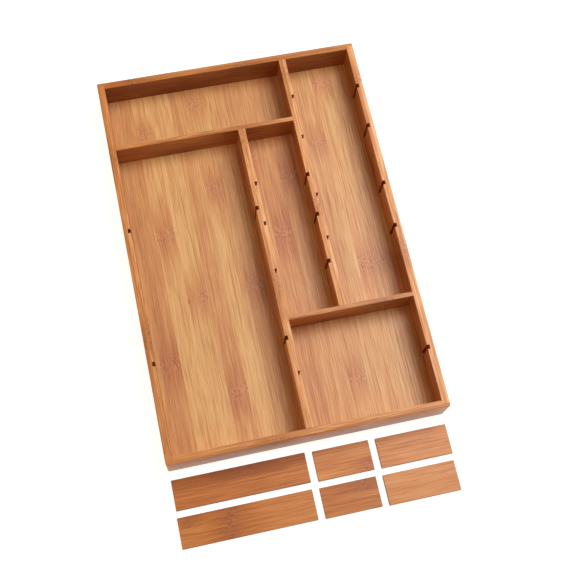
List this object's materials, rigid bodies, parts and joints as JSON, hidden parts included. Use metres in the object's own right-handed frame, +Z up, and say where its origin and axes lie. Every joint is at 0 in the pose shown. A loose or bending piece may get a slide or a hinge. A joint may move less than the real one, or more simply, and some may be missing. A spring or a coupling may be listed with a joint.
{
  "type": "drawer organizer insert",
  "caption": "Shallow bamboo tray for a drawer, divided by fixed partitions, with slotted walls and loose dividers that lie flat in front of it.",
  "frame": {"origin": "centre of the set's footprint on the surface it stands on, the footprint being the tray together with the two rows of loose dividers in front of it; the tray's front left bottom corner is at (-0.1525, -0.183, 0)", "axes": "+X to the right along the front wall, +Y to the back along the side walls, +Z up out of the compartments"},
  "size_m": [0.305, 0.534, 0.042],
  "materials": {
    "wall_bamboo": "satin clear lacquer over solid strip bamboo, grain along each board",
    "panel_bamboo": "satin clear lacquer over edge-glued flat strip bamboo, grain from front to back",
    "divider_bamboo": "satin clear lacquer over darker strip bamboo, grain along each divider"
  },
  "bodies": {
    "tray": {"front_wall": "wall_bamboo", "back_wall": "wall_bamboo", "left_wall": "wall_bamboo", "right_wall": "wall_bamboo", "long_partition": "wall_bamboo", "rear_partition": "wall_bamboo", "left_cross_partition": "wall_bamboo", "right_cross_partition": "wall_bamboo", "bottom_panel": "panel_bamboo"},
    "long_divider_1": {"long_divider_1": "divider_bamboo"},
    "long_divider_2": {"long_divider_2": "divider_bamboo"},
    "short_divider_1": {"short_divider_1": "divider_bamboo"},
    "short_divider_2": {"short_divider_2": "divider_bamboo"},
    "medium_divider_1": {"medium_divider_1": "divider_bamboo"},
    "medium_divider_2": {"medium_divider_2": "divider_bamboo"}
  },
  "joints": [
    {"name": "long_divider_1_lift", "type": "slide", "parent": "tray", "child": "long_divider_1", "axis": [0, 0, 1], "range_m": [0, 0.06]},
    {"name": "long_divider_2_lift", "type": "slide", "parent": "tray", "child": "long_divider_2", "axis": [0, 0, 1], "range_m": [0, 0.06]},
    {"name": "short_divider_1_lift", "type": "slide", "parent": "tray", "child": "short_divider_1", "axis": [0, 0, 1], "range_m": [0, 0.06]},
    {"name": "short_divider_2_lift", "type": "slide", "parent": "tray", "child": "short_divider_2", "axis": [0, 0, 1], "range_m": [0, 0.06]},
    {"name": "medium_divider_1_lift", "type": "slide", "parent": "tray", "child": "medium_divider_1", "axis": [0, 0, 1], "range_m": [0, 0.06]},
    {"name": "medium_divider_2_lift", "type": "slide", "parent": "tray", "child": "medium_divider_2", "axis": [0, 0, 1], "range_m": [0, 0.06]}
  ]
}
